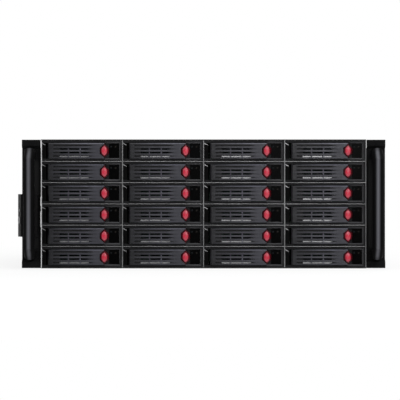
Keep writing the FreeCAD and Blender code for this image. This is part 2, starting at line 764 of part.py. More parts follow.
def module_face():
    """Ends of the control module's slanted face in plan, rear first."""
    back = -EAR_THICKNESS - PLATE_THICKNESS
    rear = Vector(-RACK_WIDTH / 2 - MODULE_OVERHANG, back, 0)
    return rear, Vector(rear.x + MODULE_SLANT, back - MODULE_DEPTH, 0)


def power_axis():
    """The middle of the power button on the slanted face, and the direction in which it is pressed."""
    rear, fore = module_face()
    along = fore - rear
    inward = Vector(-along.y, along.x, 0).normalize()
    middle = (rear + fore) * 0.5
    return Vector(middle.x, middle.y, POWER_HEIGHT), inward


def make_module():
    """The control housing on the left ear, with a blind bore for the power button."""
    rear, fore = module_face()
    inner = BODY_LEFT - EAR_BODY_GAP - MODULE_INNER_GAP
    outline = [(rear.x, rear.y), (fore.x, fore.y), (inner, fore.y), (inner, rear.y)]
    housing = plan_prism(outline, (MODULE_BOTTOM, MODULE_TOP))
    middle, inward = power_axis()
    depth = POWER_LENGTH - POWER_PROUD + POWER_TRAVEL + POWER_FLOOR_GAP
    mouth = middle - inward * EPS
    bore = Part.makeCylinder(POWER_RADIUS + POWER_GAP, depth + EPS, mouth, inward)
    return housing.cut(bore)


def make_power_button():
    middle, inward = power_axis()
    return Part.makeCylinder(POWER_RADIUS, POWER_LENGTH, middle - inward * POWER_PROUD, inward)


def main():
    os.makedirs(OUT, exist_ok=True)
    sheets = [make_tub(), make_front_lid(), make_partition(), make_rear_panel()]
    save("chassis_shell", sheets + make_slot_covers())
    save("top_cover", [make_cover()])
    save("drive_cage", make_cage())
    save("backplanes", make_backplanes())
    save("fan_housings", [make_fan_housing(x, z) for x, z in fan_centres()])
    for number, (x, z) in enumerate(fan_centres(), 1):
        save("fan_rotor_%d" % number, [make_rotor(x, z)])
    save("rack_ears", [make_ear(CABLE_NOTCHES), mirrored(make_ear(()))])
    save("ear_handles", [make_handle(CABLE_NOTCHES), mirrored(make_handle(()))])
    save("control_module", [make_module()])
    save("power_button", [make_power_button()])
    tray = make_tray()
    lever = make_lever()
    for row in range(ROWS):
        for column in range(COLUMNS):
            place = bay_corner(row, column)
            label = "r%dc%d" % (row + 1, column + 1)
            save("tray_" + label, [piece.translated(place) for piece in tray])
            save("lever_" + label, [piece.translated(place) for piece in lever])


main()
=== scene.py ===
"""Looks of the rackmount server case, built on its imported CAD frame. Metres, in the frame of the CAD."""
import json
import math

import bmesh
import bpy
from mathutils import Matrix, Vector


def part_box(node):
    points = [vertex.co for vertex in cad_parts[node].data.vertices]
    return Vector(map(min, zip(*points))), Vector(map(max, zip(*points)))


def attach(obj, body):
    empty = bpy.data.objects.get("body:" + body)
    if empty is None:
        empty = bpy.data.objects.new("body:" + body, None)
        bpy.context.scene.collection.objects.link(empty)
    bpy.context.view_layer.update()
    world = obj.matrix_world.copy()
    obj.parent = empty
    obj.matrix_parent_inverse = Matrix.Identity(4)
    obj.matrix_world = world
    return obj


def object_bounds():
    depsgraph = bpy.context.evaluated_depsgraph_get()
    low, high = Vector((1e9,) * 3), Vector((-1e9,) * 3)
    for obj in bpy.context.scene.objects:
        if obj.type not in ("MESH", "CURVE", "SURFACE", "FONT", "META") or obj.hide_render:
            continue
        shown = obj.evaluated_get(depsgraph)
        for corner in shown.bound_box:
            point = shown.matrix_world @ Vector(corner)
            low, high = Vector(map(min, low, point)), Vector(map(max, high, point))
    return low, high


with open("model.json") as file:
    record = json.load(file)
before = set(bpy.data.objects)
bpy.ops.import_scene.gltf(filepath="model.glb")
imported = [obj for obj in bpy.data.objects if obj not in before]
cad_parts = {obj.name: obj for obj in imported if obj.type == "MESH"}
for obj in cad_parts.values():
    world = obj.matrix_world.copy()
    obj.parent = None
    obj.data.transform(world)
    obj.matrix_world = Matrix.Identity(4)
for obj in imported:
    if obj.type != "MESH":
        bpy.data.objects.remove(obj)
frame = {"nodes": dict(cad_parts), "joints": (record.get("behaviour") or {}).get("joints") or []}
NODES = frame["nodes"]
CAD_LOW, CAD_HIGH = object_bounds()
MM = 0.001
ROWS = 6
COLUMNS = 4
BAYS = ["r%dc%d" % (row + 1, column + 1) for row in range(ROWS) for column in range(COLUMNS)]
FANS = 3

# Sizes of the tray's front and its lever, as in the part's source
BUTTON_FROM_RIGHT = 23.0 * MM
BUTTON_HALF_WIDTH = 5.0 * MM
BUTTON_HALF_HEIGHT = 7.2 * MM
BUTTON_PROUD = 3.5 * MM
LOUVRE_THICKNESS = 2.5 * MM
GROOVES = 4
GROOVE_SPREAD = 0.93
AIR_LEFT = 15.5 * MM
AIR_RIGHT = 20.5 * MM
AIR_SIDE = 11.0 * MM
AIR_BAR = 1.5 * MM
BEZEL_DEPTH = 16.0 * MM
SILL = 2.6 * MM
POCKET_RIM = 2.2 * MM
POCKET_DEPTH = 5.0 * MM
POCKET_TAPER = 1.5 * MM

# Sizes of the chassis, also as there
POWER_PROUD = 0.6 * MM
POWER_LENGTH = 4.0 * MM
SHEET = 1.2 * MM
BOARD_THICKNESS = 1.6 * MM
EAR_THICKNESS = 2.0 * MM
SLOT_COVER_TAB = 11.0 * MM

# How faces of the CAD nodes are told apart: by margins on their places, and by the share of their
# normal along an axis, for a face that looks that way and for one that only slopes
NEAR = 0.05 * MM
BUTTON_MARGIN = 0.3 * MM
FACING = 0.5
SLOPING = 0.1

# What the modifiers on the CAD nodes need
WELD_GAP = 0.002 * MM
FLAT_ANGLE = math.radians(0.5)
SHARP_ANGLE = math.radians(35)
SHEET_BEVEL = 0.25 * MM
CAGE_BEVEL = 0.2 * MM
PLASTIC_BEVEL = 0.5 * MM
POWER_BEVEL = 0.25 * MM
SOCKET_BEVEL = 0.25 * MM
HOUSING_BEVEL = 0.6 * MM
ROTOR_BEVEL = 0.4 * MM

# Cap over the release button: a pointed hexagon that carries an oval crown
CAP_STEPS = 28
CAP_TURNS = [2 * math.pi * step / CAP_STEPS for step in range(CAP_STEPS)]
CAP_HALF_WIDTH = 5.8 * MM
CAP_HALF_HEIGHT = 8.8 * MM
CAP_SHOULDER = 0.39
CAP_SLOPE_BACK = 2.0 * MM
CROWN_HALF_WIDTH = 3.35 * MM
CROWN_HALF_HEIGHT = 5.7 * MM
CROWN_FRONT = -0.5 * MM
CROWN_RINGS = ((1.0, 0.0), (0.88, 0.25 * MM), (0.58, 0.42 * MM), (0.26, 0.5 * MM))

# Dark panel with two lenses. A profile has (radius, depth) pairs, here in millimetres
PANEL_GAP = 0.2 * MM
PANEL_THICKNESS = 0.8 * MM
PANEL_BEVEL = 0.3 * MM
LENSES_FROM_LEFT = (2.6 * MM, 8.6 * MM)
LENS_RISE = 5.4 * MM
LENS_PROFILE = ((1.25, 0.02), (1.2, -0.25), (1.0, -0.28), (0.96, -0.12), (0.8, -0.45), (0.3, -0.62))
LENS_SIDES = 20

# Steel tongue beside the hinge post. Its root and tip are given by their lower and upper edge
CLIP_REACH = 4.6 * MM
CLIP_DROP = 6.1 * MM
CLIP_STEEL = 0.6 * MM
CLIP_PROUD = 0.9 * MM
CLIP_ROOT = (1.7 * MM, 3.2 * MM)
CLIP_TIP = (-0.2 * MM, 0.25 * MM)
CLIP_BEVEL = 0.12 * MM

# Steel angle behind the lever's lowest slot
LIP_STEEL = 0.8 * MM
LIP_HEIGHT = 4.1 * MM
LIP_DEPTH = 6.0 * MM
LIP_BEHIND = 0.6 * MM
LIP_FROM_HINGE = 13.0 * MM
LIP_FROM_BUTTON = 20.5 * MM
LIP_BEVEL = 0.15 * MM

# Bright strips in the notches of the left ear
SHIM_SPANS = ((-3.0 * MM, 9.0 * MM), (-31.0 * MM, -10.0 * MM))
SHIM_WIDTH = 0.9 * MM
SHIM_GAP = 0.35 * MM
SHIM_DEPTH = (-5.6 * MM, -0.4 * MM)
SHIM_BEVEL = 0.1 * MM

# Screws, with their head's profile, cross recess and its depth in radii
SCREW_HEAD = ((1.0, 0.0), (1.0, -0.22), (0.86, -0.44), (0.55, -0.58), (0.30, -0.60))
SCREW_RECESS = (0.95, 0.12, 0.2)
SCREW_RECESS_DEPTH = -0.57
SCREW_SIDES = 18
SCREW_HEIGHTS = (-55.0 * MM, 0.0, 55.0 * MM)
CAGE_SCREW_RADIUS = 3.0 * MM
CAGE_SCREW_SHARES = (0.45, 0.68, 0.92)
EAR_SCREW_RADIUS = 3.2 * MM
EAR_SCREW_SHARE = 0.55

# Mainboard standoffs, with their profile in millimetres
STANDOFFS_X = (-135.0 * MM, 20.0 * MM, 110.0 * MM)
STANDOFFS_Y = (385.0 * MM, 515.0 * MM, 625.0 * MM)
STANDOFF_PROFILE = ((3.4, 0.0), (3.4, -5.6), (3.0, -6.3), (1.7, -6.3), (1.6, -3.5))
STANDOFF_SIDES = 6

# Components behind each drive: place across and up, size in millimetres, and material of backplane_parts
BOARD_BLOCKS = (
    (-34.0 * MM, 0.0, (7.0, 1.2, 7.0), 0),
    (-22.0 * MM, -3.0 * MM, (2.4, 1.4, 3.4), 1),
    (-18.0 * MM, -3.0 * MM, (2.4, 1.4, 3.4), 1),
    (20.0 * MM, 1.0 * MM, (24.0, 9.0, 7.0), 0),
    (38.0 * MM, 2.0 * MM, (3.2, 0.9, 1.8), 2),
)
BLOCK_ROW_SHARE = 0.45
BLOCK_SINK = 0.05 * MM
BLOCK_BEVEL = 0.25 * MM
STIFFENER = (416.0, 2.0, 5.0)
STIFFENER_DROP = 0.9 * MM

# Ring on the power button and the light above it, with profiles in millimetres
RING_RIM = ((4.85, 0.3), (4.85, -0.05), (4.65, -0.15), (4.25, -0.15))
RING_INSIDE = ((4.1, 0.0), (3.9, 0.04), (0.5, 0.02))
RING_SIDES = 40
RING_BORE = 3.95 * MM
LIGHT_RISE = 13.0 * MM
LIGHT_PROFILE = ((1.9, 0.4), (1.9, -0.1), (1.5, -0.15), (1.45, 0.0), (1.2, -0.3), (0.4, -0.45))
LIGHT_SIDES = 24

# Shader values that several materials share. Noise seldom leaves its span, and its scales are per metre
NOISE_SPAN = (0.3, 0.7)
MOTTLE_SCALE = 45.0
GLOSS_SCALE = 220.0
PEEL_SCALE = 1500.0
GRAIN_SCALE = 2600.0
GRAIN_DEPTH = 0.12 * MM
EDGE_ROUNDING = 0.3 * MM
# Radii of the paler edges, which are partly wear and partly painted highlight
EDGE_WEAR_AND_HIGHLIGHT = 0.5 * MM
LEVER_EDGE_WEAR_AND_HIGHLIGHT = 0.4 * MM
EDGE_TURN = (0.78, 0.98)
BEVEL_SAMPLES = 4

# The grips' painted sheen, a paler strip that is also smoother. On the right grip it lies two shifts further
# in
GRIP_X = 229.55 * MM
SHEEN_HALF_WIDTH = 3.92 * MM
SHEEN_SHIFT = 0.45 * MM

# Camera, taken from the photo: level, square to the front
IMAGE_SIDE = 400
RACK_WIDTH = 482.6 * MM
RACK_WIDTH_PIXELS = 363.8
PIXEL_SIZE = RACK_WIDTH / RACK_WIDTH_PIXELS
CAMERA_DISTANCE = 2.3
OBJECT_CENTRE_PIXEL = (203.6, 203.9)
SENSOR = 36.0

# Stage: each light's name, place, size and power. The floor turns white between two distances
LIGHT_TARGET = (0.0, 0.1, 0.0)
LIGHTS = (
    ("front_light", (0.45, -2.35, 0.45), (0.9, 0.8), 16),
    ("key_light", (1.3, -1.9, 1.7), (1.2, 1.2), 38),
    ("fill_light", (-1.8, -1.7, 0.9), (1.0, 1.4), 10),
    ("top_light", (0.0, 0.2, 2.2), (1.8, 1.8), 24),
    ("back_light", (0.4, 2.4, 1.6), (1.6, 1.0), 20),
)
AMBIENT = 0.25
FLOOR_HALF_SIDE = 6.0
FLOOR_DROP = 0.2 * MM
FLOOR_WHITE = (0.4, 1.2)


# Shader helpers


class Shader:
    """A principled material with short calls for the texture nodes used here."""

    def __init__(self, name, roughness=0.5, metallic=0.0, specular=0.5, coat=0.0):
        self.material = bpy.data.materials.new(name)
        self.material.use_nodes = True
        self.tree = self.material.node_tree
        self.surface = self.tree.nodes["Principled BSDF"]
        self.set("Roughness", roughness)
        self.set("Metallic", metallic)
        self.set("Specular IOR Level", specular)
        self.set("Coat Weight", coat)
        self.where = self.node("ShaderNodeTexCoord")

    def node(self, kind, **values):
        made = self.tree.nodes.new(kind)
        for name, value in values.items():
            setattr(made, name, value)
        return made

    def link(self, source, target):
        self.tree.links.new(source, target)

    def set(self, socket, value):
        self.surface.inputs[socket].default_value = value

    def feed(self, socket, source):
        self.link(source, self.surface.inputs[socket])

    def give(self, socket, source):
        """Links a source to a socket, or sets a plain value on it."""
        if isinstance(source, bpy.types.NodeSocket):
            self.link(source, socket)
        else:
            socket.default_value = source

    def place(self, scale, space="Object"):
        """Coordinates stretched by a scale along each axis."""
        mapping = self.node("ShaderNodeMapping")
        mapping.inputs["Scale"].default_value = scale
        self.link(self.where.outputs[space], mapping.inputs["Vector"])
        return mapping.outputs["Vector"]

    def axis(self, letter, space="Object", scale=1.0):
        """One coordinate of the surface point, times a scale."""
        made = self.node("ShaderNodeSeparateXYZ")
        self.link(self.place((scale, scale, scale), space), made.inputs[0])
        return made.outputs[letter]

    def from_middle(self, letter):
        """Place along one axis of the object's own box, from -0.5 to 0.5."""
        return self.maths("SUBTRACT", self.axis(letter, "Generated"), 0.5)

    def distance(self, scale):
        """How far the surface point is from the object's own origin, times a scale."""
        made = self.node("ShaderNodeVectorMath", operation="LENGTH")
        self.link(self.place((scale, scale, scale)), made.inputs[0])
        return made.outputs["Value"]

    def noise(self, scale, detail=3.0, stretch=(1, 1, 1)):
        made = self.node("ShaderNodeTexNoise")
        made.inputs["Scale"].default_value = scale
        made.inputs["Detail"].default_value = detail
        self.link(self.place(stretch), made.inputs["Vector"])
        return made.outputs["Fac"]

    def cells(self, scale, stretch=(1, 1, 1), feature="F1", output="Color"):
        made = self.node("ShaderNodeTexVoronoi", feature=feature)
        made.inputs["Scale"].default_value = scale
        self.link(self.place(stretch), made.inputs["Vector"])
        return made.outputs[output]

    def ramp(self, source, low, high, start=0.0, end=1.0):
        """Colours or grey levels between low and high, as the source goes from start to end."""
        made = self.node("ShaderNodeValToRGB")
        for element, place, value in zip(made.color_ramp.elements, (start, end), (low, high)):
            element.position = place
            element.color = value if isinstance(value, tuple) else (value, value, value, 1)
        self.link(source, made.inputs["Fac"])
        return made.outputs["Color"]

    def cloud(self, low, high, scale, detail=3.0, stretch=(1, 1, 1)):
        """Colours or grey levels between low and high, in the soft spots of a noise."""
        return self.ramp(self.noise(scale, detail, stretch), low, high, *NOISE_SPAN)

    def mix(self, factor, first, second, blend="MIX"):
        made = self.node("ShaderNodeMix", data_type="RGBA", blend_type=blend)
        for socket, source in ((0, factor), (6, first), (7, second)):
            self.give(made.inputs[socket], source)
        return made.outputs[2]

    def maths(self, operation, first, second=0.0):
        """A texture value worked out from one other value or from two."""
        made = self.node("ShaderNodeMath", operation=operation)
        for socket, source in zip(made.inputs, (first, second)):
            self.give(socket, source)
        return made.outputs[0]

    def rounded(self, radius):
        """The surface's normal, as if its edges were rounded by a radius."""
        made = self.node("ShaderNodeBevel", samples=BEVEL_SAMPLES)
        made.inputs["Radius"].default_value = radius
        return made.outputs["Normal"]

    def edges(self, radius):
        """White along edges, where the rounded normal turns away from the flat one."""
        flat = self.node("ShaderNodeNewGeometry")
        turn = self.node("ShaderNodeVectorMath", operation="DOT_PRODUCT")
        self.link(self.rounded(radius), turn.inputs[0])
        self.link(flat.outputs["Normal"], turn.inputs[1])
        return self.ramp(turn.outputs["Value"], 1.0, 0.0, *EDGE_TURN)

    def bump(self, source, strength, depth, rounding=0.0):
        """Unevenness from a texture, on edges that are rounded by a radius."""
        made = self.node("ShaderNodeBump")
        if rounding:
            self.link(self.rounded(rounding), made.inputs["Normal"])
        made.inputs["Strength"].default_value = strength
        made.inputs["Distance"].default_value = depth
        self.link(source, made.inputs["Height"])
        self.feed("Normal", made.outputs["Normal"])

    def grain(self, strength=0.16, rounding=EDGE_ROUNDING):
        """The fine spark-eroded grain that a mould leaves on plastic."""
        self.bump(self.noise(GRAIN_SCALE, 2.0), strength, GRAIN_DEPTH, rounding)


def grey(level, blue=1.05):
    """A faintly blue dark grey, as the photo's blacks are."""
    return (level, level, level * blue, 1)


def metal_grey(level):
    """The nearly plain grey of bare metal."""
    return grey(level, 1.02)


def lever_grey(level):
    """The bluer grey of the levers."""
    return grey(level, 1.25)


# Materials


def powder_coat(name, level, specular=0.14):
    """Satin black coat on sheet steel: fine orange peel, faint cloudiness, and paler edges that are partly
    wear and partly painted highlight.
    """
    shader = Shader(name, specular=specular)
    tone = shader.cloud(grey(level * 0.75), grey(level * 1.3), 9.0, 4.0)
    shader.feed("Base Color", shader.mix(shader.edges(EDGE_WEAR_AND_HIGHLIGHT), tone, grey(level * 3.0)))
    shader.feed("Roughness", shader.cloud(0.41, 0.55, 300.0))
    shader.bump(shader.noise(PEEL_SCALE, 2.0), 0.12, 0.2 * MM, EDGE_ROUNDING)
    return shader.material


def galvanised(name, level):
    """Bare zinc-coated sheet: spangle in colour and gloss, with fine rolling lines."""
    shader = Shader(name, metallic=1.0)
    spangle = shader.cells(140.0)
    tone = shader.ramp(spangle, metal_grey(level * 0.8), metal_grey(level * 1.2), 0.2, 0.9)
    dull = shader.ramp(shader.noise(30.0), 0.82, 1.0, 0.35, 0.65)
    shader.feed("Base Color", shader.mix(1.0, tone, dull, "MULTIPLY"))
    shader.feed("Roughness", shader.ramp(spangle, 0.34, 0.52))
    shader.bump(shader.noise(500.0, 3.0, (1, 0.06, 1)), 0.12, 0.2 * MM)
    return shader.material


def moulding(name, level, specular=0.10, roughness=(0.40, 0.58)):
    """Black moulded plastic with a fine grain, and paler edges that are partly wear and partly painted
    highlight.
    """
    shader = Shader(name, specular=specular)
    tone = shader.cloud(grey(level * 0.8), grey(level * 1.25), MOTTLE_SCALE)
    shader.feed("Base Color", shader.mix(shader.edges(EDGE_WEAR_AND_HIGHLIGHT), tone, grey(level * 3.0)))
    shader.feed("Roughness", shader.cloud(*roughness, GLOSS_SCALE))
    shader.grain()
    return shader.material


def tray_moulding():
    """The bezels' plastic: black at the hinge post, and painted paler on the frame round the pocket and
    above and below the lever, as painted light on the one plastic.
    """
    shader = Shader("tray_moulding", specular=0.02)
    black = shader.cloud(grey(0.0009), grey(0.0014), MOTTLE_SCALE)
    # The frame's paler tone is painted light
    lit_frame_tone = shader.cloud(grey(0.012), grey(0.018), 60.0, 4.0)
    beyond_button = shader.ramp(shader.axis("X", "Generated"), 0.0, 1.0, 0.77, 0.79)
    height = shader.maths("ABSOLUTE", shader.from_middle("Z"))
    above_or_below = shader.ramp(height, 0.0, 0.65, 0.38, 0.40)
    lit_frame_share = shader.maths("MAXIMUM", beyond_button, above_or_below)
    shader.feed("Base Color", shader.mix(lit_frame_share, black, lit_frame_tone))
    shader.feed("Roughness", shader.cloud(0.40, 0.58, GLOSS_SCALE))
    shader.grain()
    return shader.material


def handle_moulding():
    """The ears' plastic: black, with a painted sheen along the front of each grip, where it is also
    smoother, and the grips' arch darker than the plate as painted shade.
    """
    shader = Shader("handle_moulding", specular=0.03)
    plate = shader.cloud(grey(0.0038), grey(0.006), MOTTLE_SCALE)
    # The grips' arch is painted darker than the plate: painted shade
    arch = shader.cloud(grey(0.0015), grey(0.0028), MOTTLE_SCALE)
    # The paler colour of the grips' painted sheen
    sheen_tone = shader.cloud(grey(0.074, 1.12), grey(0.098, 1.12), 70.0, 4.0, (1, 1, 0.1))
    shift = SHEEN_SHIFT / SHEEN_HALF_WIDTH
    shifted = shader.maths("ADD", shader.axis("X", scale=1 / SHEEN_HALF_WIDTH), shift)
    outward = shader.maths("ABSOLUTE", shifted)
    past_middle = shader.maths("SUBTRACT", outward, GRIP_X / SHEEN_HALF_WIDTH - shift)
    across = shader.ramp(shader.maths("ABSOLUTE", past_middle), 1.0, 0.0)
    across.node.color_ramp.interpolation = "EASE"
    forward = shader.axis("Y", scale=1 / CAD_LOW.y)
    painted_sheen = shader.maths("MULTIPLY", across, shader.ramp(forward, 0.0, 1.0, 0.55, 0.80))
    tone = shader.mix(shader.ramp(forward, 0.0, 1.0, 0.26, 0.32), plate, arch)
    shader.feed("Base Color", shader.mix(painted_sheen, tone, sheen_tone))
    matt = shader.cloud(0.62, 0.76, GLOSS_SCALE)
    smooth = shader.cloud(0.18, 0.26, GLOSS_SCALE)
    # The same strip is also smoother, a real polish from hands
    shader.feed("Roughness", shader.mix(painted_sheen, matt, smooth))
    shader.grain(0.14, 0.0)
    return shader.material


def groove_tail_shade(shader):
    """Painted shade where the grooves run out towards the button: how much of the black tone is mixed in, as
    a share from 0 to 0.5.
    """
    turns = shader.maths("MULTIPLY", shader.from_middle("Z"), GROOVES / GROOVE_SPREAD)
    from_groove = shader.maths("SUBTRACT", shader.maths("FRACT", turns), 0.5)
    streak = shader.ramp(shader.maths("ABSOLUTE", from_groove), 1.0, 0.0, 0.10, 0.40)
    along = shader.axis("X", "Generated")
    start = shader.ramp(along, 0.0, 1.0, 0.64, 0.74)
    end = shader.ramp(along, 0.5, 0.0, 0.76, 0.97)
    return shader.maths("MULTIPLY", streak, shader.maths("MULTIPLY", start, end))


def rib_highlight_share(shader):
    """How much painted highlight the rib between the two rows of windows gets, as a share from 0 to 1."""
    height = shader.maths("ABSOLUTE", shader.from_middle("Z"))
    rib = shader.ramp(height, 1.0, 0.0, 0.03, 0.08)
    along = shader.axis("X", "Generated")
    start = shader.ramp(along, 0.1, 1.0, 0.05, 0.5)
    end = shader.ramp(along, 1.0, 0.0, 0.62, 0.72)
    return shader.maths("MULTIPLY", rib, shader.maths("MULTIPLY", start, end))


def lever_moulding(name, level):
    """The levers' plastic: black at the hinge and paler towards the free end as a painted highlight, with a
    painted highlight on the rib between the windows, painted shade where the grooves run out, and paler
    edges that are partly wear and partly painted highlight.
    """
    shader = Shader(name, specular=0.15)
    tone = shader.cloud(lever_grey(0.004), lever_grey(0.007), 60.0)
    # The paler colour of the painted highlight towards the free end
    sheen_tone = shader.cloud(lever_grey(level * 0.85), lever_grey(level * 1.15), 90.0, 4.0, (1, 1, 0.4))
    painted_sheen = shader.mix(shader.ramp(shader.axis("X", "Generated"), 0.0, 1.0, 0.02, 0.70), tone, sheen_tone)
    # Painted highlight on the rib between the windows
    rib_lit_tone = shader.mix(rib_highlight_share(shader), painted_sheen, grey(0.038, 1.2))
    # Painted shade where the grooves run out
    base = shader.mix(groove_tail_shade(shader), rib_lit_tone, tone)
    shader.feed("Base Color", shader.mix(shader.edges(LEVER_EDGE_WEAR_AND_HIGHLIGHT), base, grey(0.065, 1.15)))
    shader.feed("Roughness", shader.cloud(0.28, 0.42, 240.0))
    shader.grain()
    return shader.material


def red_plastic():
    """Glossy red button plastic: bright on the crown, with a pink painted highlight at its top and bottom
    tips, and a painted shade that deepens the red on the slopes round it.
    """
    shader = Shader("release_red", roughness=0.30, specular=0.25, coat=0.06)
    middle = shader.cloud((0.34, 0.005, 0.024, 1), (0.42, 0.011, 0.034, 1), 180.0)
    from_middle = shader.maths("ABSOLUTE", shader.axis("Z", scale=1 / CROWN_HALF_HEIGHT))
    # Pink painted highlight at the crown's top and bottom tips
    pink_highlight_ends = shader.ramp(from_middle, 0.0, 1.0, 0.15, 0.75)
    crown = shader.mix(pink_highlight_ends, middle, (0.37, 0.048, 0.070, 1))
    behind_crown = shader.maths("SUBTRACT", shader.axis("Y", scale=1 / MM), CROWN_FRONT / MM)
    # Painted shade that deepens the red on the slopes round the crown
    shaded_slope = shader.ramp(behind_crown, 0.0, 1.0, 0.0, 0.35)
    shader.feed("Base Color", shader.mix(shaded_slope, crown, (0.06, 0.002, 0.005, 1)))
    shader.bump(shader.noise(PEEL_SCALE, 2.0), 0.06, 0.1 * MM)
    return shader.material


def smoked_panel():
    """Dark glossy panel over the lights, with faint swirl marks in its polish."""
    shader = Shader("smoked_panel", specular=0.01)
    shader.feed("Base Color", shader.ramp(shader.noise(120.0), grey(0.0006), grey(0.0014)))
    shader.feed("Roughness", shader.cloud(0.12, 0.26, 400.0, 4.0, (1, 1, 0.2)))
    return shader.material


def milky_plastic(name, colour, specular=0.3):
    """Cast plastic of an unlit lens or a capacitor, slightly uneven in colour and surface."""
    shader = Shader(name, roughness=0.25, specular=specular)
    deep = tuple(0.55 * part for part in colour[:3]) + (1,)
    shader.feed("Base Color", shader.ramp(shader.noise(700.0), deep, colour, 0.25, 0.75))
    shader.bump(shader.noise(1800.0), 0.05, 0.1 * MM)
    return shader.material


def bright_metal(name, low, high, roughness=(0.22, 0.38)):
    """Plated springs, screws and standoffs, with fine drawn scratches."""
    shader = Shader(name, metallic=1.0)
    scratches = shader.noise(900.0, 4.0, (0.15, 1, 1))
    shader.feed("Base Color", shader.ramp(scratches, low, high, *NOISE_SPAN))
    shader.feed("Roughness", shader.ramp(scratches, *roughness))
    shader.bump(scratches, 0.08, 0.1 * MM)
    return shader.material


def circuit_board():
    """Green solder mask over copper tracks that run between pads."""
    shader = Shader("circuit_board", roughness=0.38, specular=0.3)
    tracks = shader.cells(260.0, (1, 1, 0.35), "DISTANCE_TO_EDGE", "Distance")
    mask = shader.ramp(tracks, (0.020, 0.115, 0.050, 1), (0.008, 0.058, 0.026, 1), 0.02, 0.10)
    shader.feed("Base Color", mask)
    shader.bump(tracks, 0.10, 0.1 * MM)
    return shader.material


# Meshes


def mesh_object(name, bm, *materials):
    mesh = bpy.data.meshes.new(name)
    bm.to_mesh(mesh)
    bm.free()
    for material in materials:
        mesh.materials.append(material)
    made = bpy.data.objects.new(name, mesh)
    bpy.context.scene.collection.objects.link(made)
    return made


def copy_of(source, name):
    """Another object on the same mesh."""
    made = bpy.data.objects.new(name, source.data)
    bpy.context.scene.collection.objects.link(made)
    return made


def skin(bm, rings):
    """Faces between rings of corners, and over the first and last ring."""
    for lower, upper in zip(rings, rings[1:]):
        for i in range(len(lower)):
            j = (i + 1) % len(lower)
            bm.faces.new((lower[i], lower[j], upper[j], upper[i]))
    bm.faces.new(rings[0][::-1])
    bm.faces.new(rings[-1])


def lathe(bm, profile, scale, sides, spot, material=0):
    """A turned solid from (radius, depth) pairs, with its axis along Y, put in place by a matrix."""
    before = set(bm.faces)
    angles = [2 * math.pi * i / sides for i in range(sides)]
    rings = []
    for radius, depth in profile:
        corners = [scale * Vector((radius * math.sin(a), depth, radius * math.cos(a))) for a in angles]
        rings.append([bm.verts.new(spot @ corner) for corner in corners])
    skin(bm, rings)
    for face in set(bm.faces) - before:
        face.material_index = material
        face.smooth = True


def drawn(bm, outline, corner_at, span):
    """An outline of corners along two axes, drawn between two places on the third one."""
    skin(bm, [[bm.verts.new(corner_at(corner, place)) for corner in outline] for place in span])
    bmesh.ops.recalc_face_normals(bm, faces=bm.faces)


def block(bm, spot, material=0):
    """A cube of side 1, stretched and put in place by a matrix."""
    made = bmesh.ops.create_cube(bm, size=1.0, matrix=spot)["verts"]
    for face in {face for corner in made for face in corner.link_faces}:
        face.material_index = material


def soften_mesh(bm, offset):
    bmesh.ops.bevel(bm, geom=bm.edges[:], offset=offset, segments=2, affect="EDGES")


def dress(node, *materials, bevel=None, smooth=False):
    """Gives a CAD node its materials, and soft edges where its solids don't share any with each other."""
    made = NODES[node]
    made.data.materials.clear()
    for material in materials:
        made.data.materials.append(material)
    made.data.polygons.foreach_set("use_smooth", [smooth] * len(made.data.polygons))
    weld = made.modifiers.new("weld", "WELD")
    weld.merge_threshold = WELD_GAP
    flat = made.modifiers.new("flat", "DECIMATE")
    flat.decimate_type = "DISSOLVE"
    flat.angle_limit = FLAT_ANGLE
    flat.delimit = {"MATERIAL"}
    if bevel:
        soften = made.modifiers.new("soften", "BEVEL")
        soften.width = bevel
        soften.segments = 2
        soften.limit_method = "ANGLE"
        soften.angle_limit = SHARP_ANGLE
    if smooth:
        made.modifiers.new("normals", "WEIGHTED_NORMAL").keep_sharp = True


def paint(node, pick):
    """Sets each face's material by its middle and normal, in the frame."""
    for face in NODES[node].data.polygons:
        face.material_index = pick(face.center, face.normal)


# Tray fronts


class TrayFront:
    """Places on one tray's front, from the tray's and the lever's own boxes."""

    def __init__(self, label):
        low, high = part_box("tray_" + label)
        lever_low, lever_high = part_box("lever_" + label)
        self.left = low.x
        self.right = high.x
        self.bottom = low.z
        self.top = high.z
        self.middle = (low.z + high.z) / 2
        self.face = low.y + BUTTON_PROUD
        self.floor = self.face + POCKET_DEPTH
        self.hinge = lever_low.x
        self.louvre_back = lever_low.y + LOUVRE_THICKNESS
        self.lever_back = lever_high.y
        self.button = Vector((high.x - BUTTON_FROM_RIGHT, low.y, (lever_low.z + lever_high.z) / 2))

    def material(self, point, normal):
        """0 for the moulding, 1 for the steel rails, 2 for the button, 3 for the pocket's sloped walls,
        which are painted paler as a painted highlight.
        """
        if point.y > self.face + BEZEL_DEPTH + NEAR:
            return 1
        beside = abs(point.x - self.button.x) < BUTTON_HALF_WIDTH + BUTTON_MARGIN
        level = abs(point.z - self.button.z) < BUTTON_HALF_HEIGHT + BUTTON_MARGIN
        if beside and level and point.y < self.floor - BUTTON_MARGIN:
            return 2
        sloped = -FACING < normal.y < -SLOPING
        return 3 if sloped and point.x > self.button.x and point.y < self.floor else 0

    def lever_material(self, point, normal):
        """0 for the moulding, 1 for the grooves' floors, painted darker as painted shade, 2 for the top edge
        and 3 for bars across grooves, both painted paler as painted highlights.
        """
        if normal.y < -FACING and normal.z > FACING:
            return 2
        if normal.y >= -FACING or point.y <= self.louvre_back - NEAR:
            return 0
        reach = AIR_SIDE + AIR_BAR / 2
        bars = (self.hinge + AIR_LEFT + reach, self.button.x - AIR_RIGHT - reach)
        return 3 if min(abs(point.x - bar) for bar in bars) < AIR_BAR / 2 else 1


